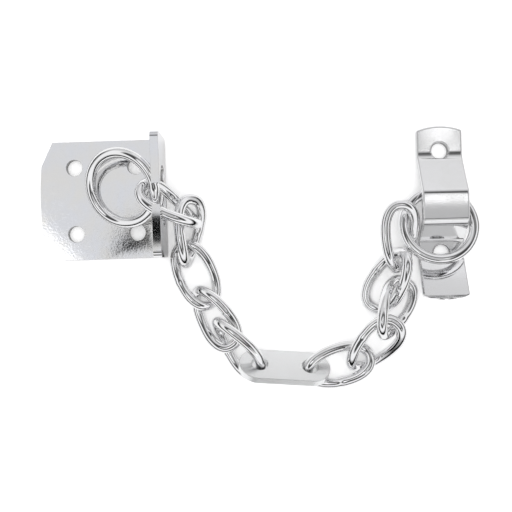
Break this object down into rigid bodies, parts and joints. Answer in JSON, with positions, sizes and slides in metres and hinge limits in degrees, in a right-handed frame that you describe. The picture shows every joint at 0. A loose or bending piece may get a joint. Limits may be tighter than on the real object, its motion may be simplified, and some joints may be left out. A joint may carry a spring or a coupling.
{
  "type": "door chain guard",
  "caption": "Door chain guard: slotted angle bracket, twisted-link steel chain with a flat middle link and a ring at each end, and a cranked screw-on strap.",
  "frame": {"origin": "centre of the bracket base plate, on the face that lies against the door", "axes": "+X from the bracket towards the strap, +Y along the flange, +Z out of the mounting face, away from the door"},
  "size_m": [0.1653, 0.0983, 0.025],
  "materials": {
    "bracket_plate": "bright plated pressed steel, slightly clouded",
    "link_wire": "bright plated steel wire",
    "ring_wire": "bright plated steel wire",
    "middle_plate": "satin plated pressed steel",
    "strap_plate": "bright plated pressed steel"
  },
  "bodies": {
    "bracket": {"bracket": "bracket_plate"},
    "link_1": {"link_1": "link_wire"},
    "ring_left": {"ring_left": "ring_wire"},
    "link_2": {"link_2": "link_wire"},
    "link_3": {"link_3": "link_wire"},
    "link_4": {"link_4": "link_wire"},
    "link_5": {"link_5": "link_wire"},
    "plate_link": {"plate_link": "middle_plate"},
    "link_6": {"link_6": "link_wire"},
    "link_7": {"link_7": "link_wire"},
    "link_8": {"link_8": "link_wire"},
    "link_9": {"link_9": "link_wire"},
    "link_10": {"link_10": "link_wire"},
    "ring_right": {"ring_right": "ring_wire"},
    "strap": {"strap": "strap_plate"}
  },
  "joints": [
    {"name": "flange_slot", "type": "hinge", "parent": "bracket", "child": "link_1", "pos_m": [0.0225, 0, 0.014], "axis": [0, 0, 1], "range_deg": [0, 15]},
    {"name": "link_1_to_left_ring", "type": "hinge", "parent": "link_1", "child": "ring_left", "pos_m": [0.01667, 0.00385, 0.01463], "axis": [0.4827, 0.6643, -0.5707], "range_deg": [-1, 4]},
    {"name": "link_1_to_link_2", "type": "hinge", "parent": "link_1", "child": "link_2", "pos_m": [0.03359, -0.00778, 0.00709], "axis": [-0.6073, 0.7111, -0.3542], "range_deg": [-29, 3]},
    {"name": "link_2_to_link_3", "type": "hinge", "parent": "link_2", "child": "link_3", "pos_m": [0.03104, -0.02489, 0.00737], "axis": [0.0757, 0.0433, -0.9962], "range_deg": [-24, 29]},
    {"name": "link_3_to_link_4", "type": "hinge", "parent": "link_3", "child": "link_4", "pos_m": [0.03899, -0.04062, 0.00679], "axis": [0.7997, 0.3325, -0.4999], "range_deg": [-29, 29]},
    {"name": "link_4_to_link_5", "type": "hinge", "parent": "link_4", "child": "link_5", "pos_m": [0.04699, -0.05638, 0.00713], "axis": [0.8564, 0.5018, 0.1218], "range_deg": [-4, 10]},
    {"name": "link_5_to_middle_plate", "type": "hinge", "parent": "link_5", "child": "plate_link", "pos_m": [0.05756, -0.06453, 0.00861], "axis": [-0.1932, -0.8653, -0.4626], "range_deg": [-29, 29]},
    {"name": "middle_plate_to_link_6", "type": "hinge", "parent": "plate_link", "child": "link_6", "pos_m": [0.08126, -0.06655, 0.00594], "axis": [0.0099, -0.6607, 0.7506], "range_deg": [-17, 8]},
    {"name": "link_6_to_link_7", "type": "hinge", "parent": "link_6", "child": "link_7", "pos_m": [0.09856, -0.0619, 0.00734], "axis": [0.2147, -0.9024, 0.3736], "range_deg": [-29, 5]},
    {"name": "link_7_to_link_8", "type": "hinge", "parent": "link_7", "child": "link_8", "pos_m": [0.10404, -0.04777, 0.01376], "axis": [-0.9745, -0.0619, -0.2157], "range_deg": [-29, 5]},
    {"name": "link_8_to_link_9", "type": "hinge", "parent": "link_8", "child": "link_9", "pos_m": [0.10782, -0.03464, 0.00743], "axis": [-0.6097, -0.3955, 0.6869], "range_deg": [-16, 24]},
    {"name": "link_9_to_link_10", "type": "hinge", "parent": "link_9", "child": "link_10", "pos_m": [0.10995, -0.02368, 0.00682], "axis": [-0.6595, -0.2776, -0.6985], "range_deg": [-29, 29]},
    {"name": "link_10_to_right_ring", "type": "hinge", "parent": "link_10", "child": "ring_right", "pos_m": [0.11701, -0.01353, 0.00695], "axis": [-0.0052, 0.882, 0.4713], "range_deg": [-6, 29]},
    {"name": "right_ring_to_strap", "type": "hinge", "parent": "ring_right", "child": "strap", "pos_m": [0.12701, -0.00063, 0.00378], "axis": [0.997, -0.0697, 0.0349], "range_deg": [-6, 4]}
  ]
}
